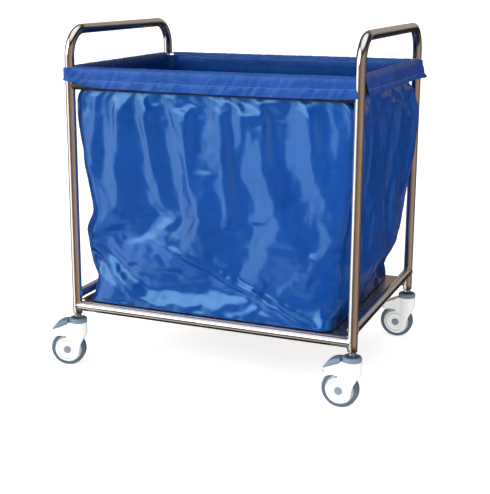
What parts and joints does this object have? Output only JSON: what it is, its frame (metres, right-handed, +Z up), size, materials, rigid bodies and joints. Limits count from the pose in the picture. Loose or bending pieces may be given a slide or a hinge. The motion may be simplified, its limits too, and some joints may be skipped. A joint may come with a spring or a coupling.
{
  "type": "linen trolley",
  "caption": "Linen trolley with two bent tube end frames, base tray, an open blue bag hemmed over the upper rails, and swivel casters, the front ones with brake pedals.",
  "frame": {"origin": "on the floor under the middle of the whole object, casters included", "axes": "+Z up, -Y front, +X right along the long side; the casters trail towards -X"},
  "size_m": [0.874, 0.6344, 0.92],
  "materials": {
    "polished_steel": "mirror polished stainless tube and sheet with faint wipe marks",
    "black_coating": "satin black coating",
    "blue_cloth": "coated waterproof weave with a soft sheen, creased",
    "chrome": "bright plated",
    "white_plastic": "smooth moulded, slightly glossy",
    "blue_grey_plastic": "satin moulded",
    "grey_tread": "matte non-marking tread",
    "grey_plastic": "satin moulded"
  },
  "bodies": {
    "frame": {"end_frame_left": "polished_steel", "end_frame_right": "polished_steel", "base_tray": "polished_steel", "linen_bag": "blue_cloth", "base_rail_front": "polished_steel", "base_rail_back": "polished_steel", "base_rail_left": "polished_steel", "base_rail_right": "polished_steel", "black_rail_front": "black_coating", "black_rail_back": "black_coating", "black_rail_left": "black_coating", "black_rail_right": "black_coating", "hem_rail_front": "polished_steel", "hem_rail_back": "polished_steel", "hem_rail_left": "polished_steel", "hem_rail_right": "polished_steel", "caster_stem_front_left": "chrome", "caster_stem_front_right": "chrome", "caster_stem_back_left": "chrome", "caster_stem_back_right": "chrome"},
    "brake_front_left": {"brake_pedal_front_left": "blue_grey_plastic"},
    "fork_front_left": {"caster_housing_front_left": "white_plastic", "dust_ring_front_left": "blue_grey_plastic", "swivel_bearing_front_left": "chrome", "wheel_axle_front_left": "chrome", "axle_sleeve_front_left": "chrome", "hub_cap_near_front_left": "grey_plastic", "hub_cap_far_front_left": "grey_plastic", "pedal_pin_front_left": "chrome"},
    "wheel_front_left": {"tyre_front_left": "grey_tread", "wheel_core_front_left": "white_plastic"},
    "brake_front_right": {"brake_pedal_front_right": "blue_grey_plastic"},
    "fork_front_right": {"caster_housing_front_right": "white_plastic", "dust_ring_front_right": "blue_grey_plastic", "swivel_bearing_front_right": "chrome", "wheel_axle_front_right": "chrome", "axle_sleeve_front_right": "chrome", "hub_cap_near_front_right": "grey_plastic", "hub_cap_far_front_right": "grey_plastic", "pedal_pin_front_right": "chrome"},
    "wheel_front_right": {"tyre_front_right": "grey_tread", "wheel_core_front_right": "white_plastic"},
    "fork_back_left": {"caster_housing_back_left": "white_plastic", "dust_ring_back_left": "blue_grey_plastic", "swivel_bearing_back_left": "chrome", "wheel_axle_back_left": "chrome", "axle_sleeve_back_left": "chrome", "hub_cap_near_back_left": "grey_plastic", "hub_cap_far_back_left": "grey_plastic"},
    "wheel_back_left": {"tyre_back_left": "grey_tread", "wheel_core_back_left": "white_plastic"},
    "fork_back_right": {"caster_housing_back_right": "white_plastic", "dust_ring_back_right": "blue_grey_plastic", "swivel_bearing_back_right": "chrome", "wheel_axle_back_right": "chrome", "axle_sleeve_back_right": "chrome", "hub_cap_near_back_right": "grey_plastic", "hub_cap_far_back_right": "grey_plastic"},
    "wheel_back_right": {"tyre_back_right": "grey_tread", "wheel_core_back_right": "white_plastic"}
  },
  "joints": [
    {"name": "swivel_front_left", "type": "hinge", "parent": "frame", "child": "fork_front_left", "pos_m": [-0.3625, -0.2875, 0.1225], "axis": [0, 0, 1], "continuous": true},
    {"name": "roll_front_left", "type": "hinge", "parent": "fork_front_left", "child": "wheel_front_left", "pos_m": [-0.38893, -0.29508, 0.047], "axis": [-0.2756, 0.9613, 0], "continuous": true},
    {"name": "brake_front_left", "type": "hinge", "parent": "fork_front_left", "child": "brake_front_left", "pos_m": [-0.39566, -0.29701, 0.1125], "axis": [0.2756, -0.9613, 0], "range_deg": [0, 8]},
    {"name": "swivel_front_right", "type": "hinge", "parent": "frame", "child": "fork_front_right", "pos_m": [0.4125, -0.2875, 0.1225], "axis": [0, 0, 1], "continuous": true},
    {"name": "roll_front_right", "type": "hinge", "parent": "fork_front_right", "child": "wheel_front_right", "pos_m": [0.385, -0.2875, 0.047], "axis": [0, 1, 0], "continuous": true},
    {"name": "brake_front_right", "type": "hinge", "parent": "fork_front_right", "child": "brake_front_right", "pos_m": [0.378, -0.2875, 0.1125], "axis": [0, -1, 0], "range_deg": [0, 8]},
    {"name": "swivel_back_left", "type": "hinge", "parent": "frame", "child": "fork_back_left", "pos_m": [-0.3625, 0.2875, 0.1225], "axis": [0, 0, 1], "continuous": true},
    {"name": "roll_back_left", "type": "hinge", "parent": "fork_back_left", "child": "wheel_back_left", "pos_m": [-0.39, 0.2875, 0.047], "axis": [0, 1, 0], "continuous": true},
    {"name": "swivel_back_right", "type": "hinge", "parent": "frame", "child": "fork_back_right", "pos_m": [0.4125, 0.2875, 0.1225], "axis": [0, 0, 1], "continuous": true},
    {"name": "roll_back_right", "type": "hinge", "parent": "fork_back_right", "child": "wheel_back_right", "pos_m": [0.385, 0.2875, 0.047], "axis": [0, 1, 0], "continuous": true}
  ]
}
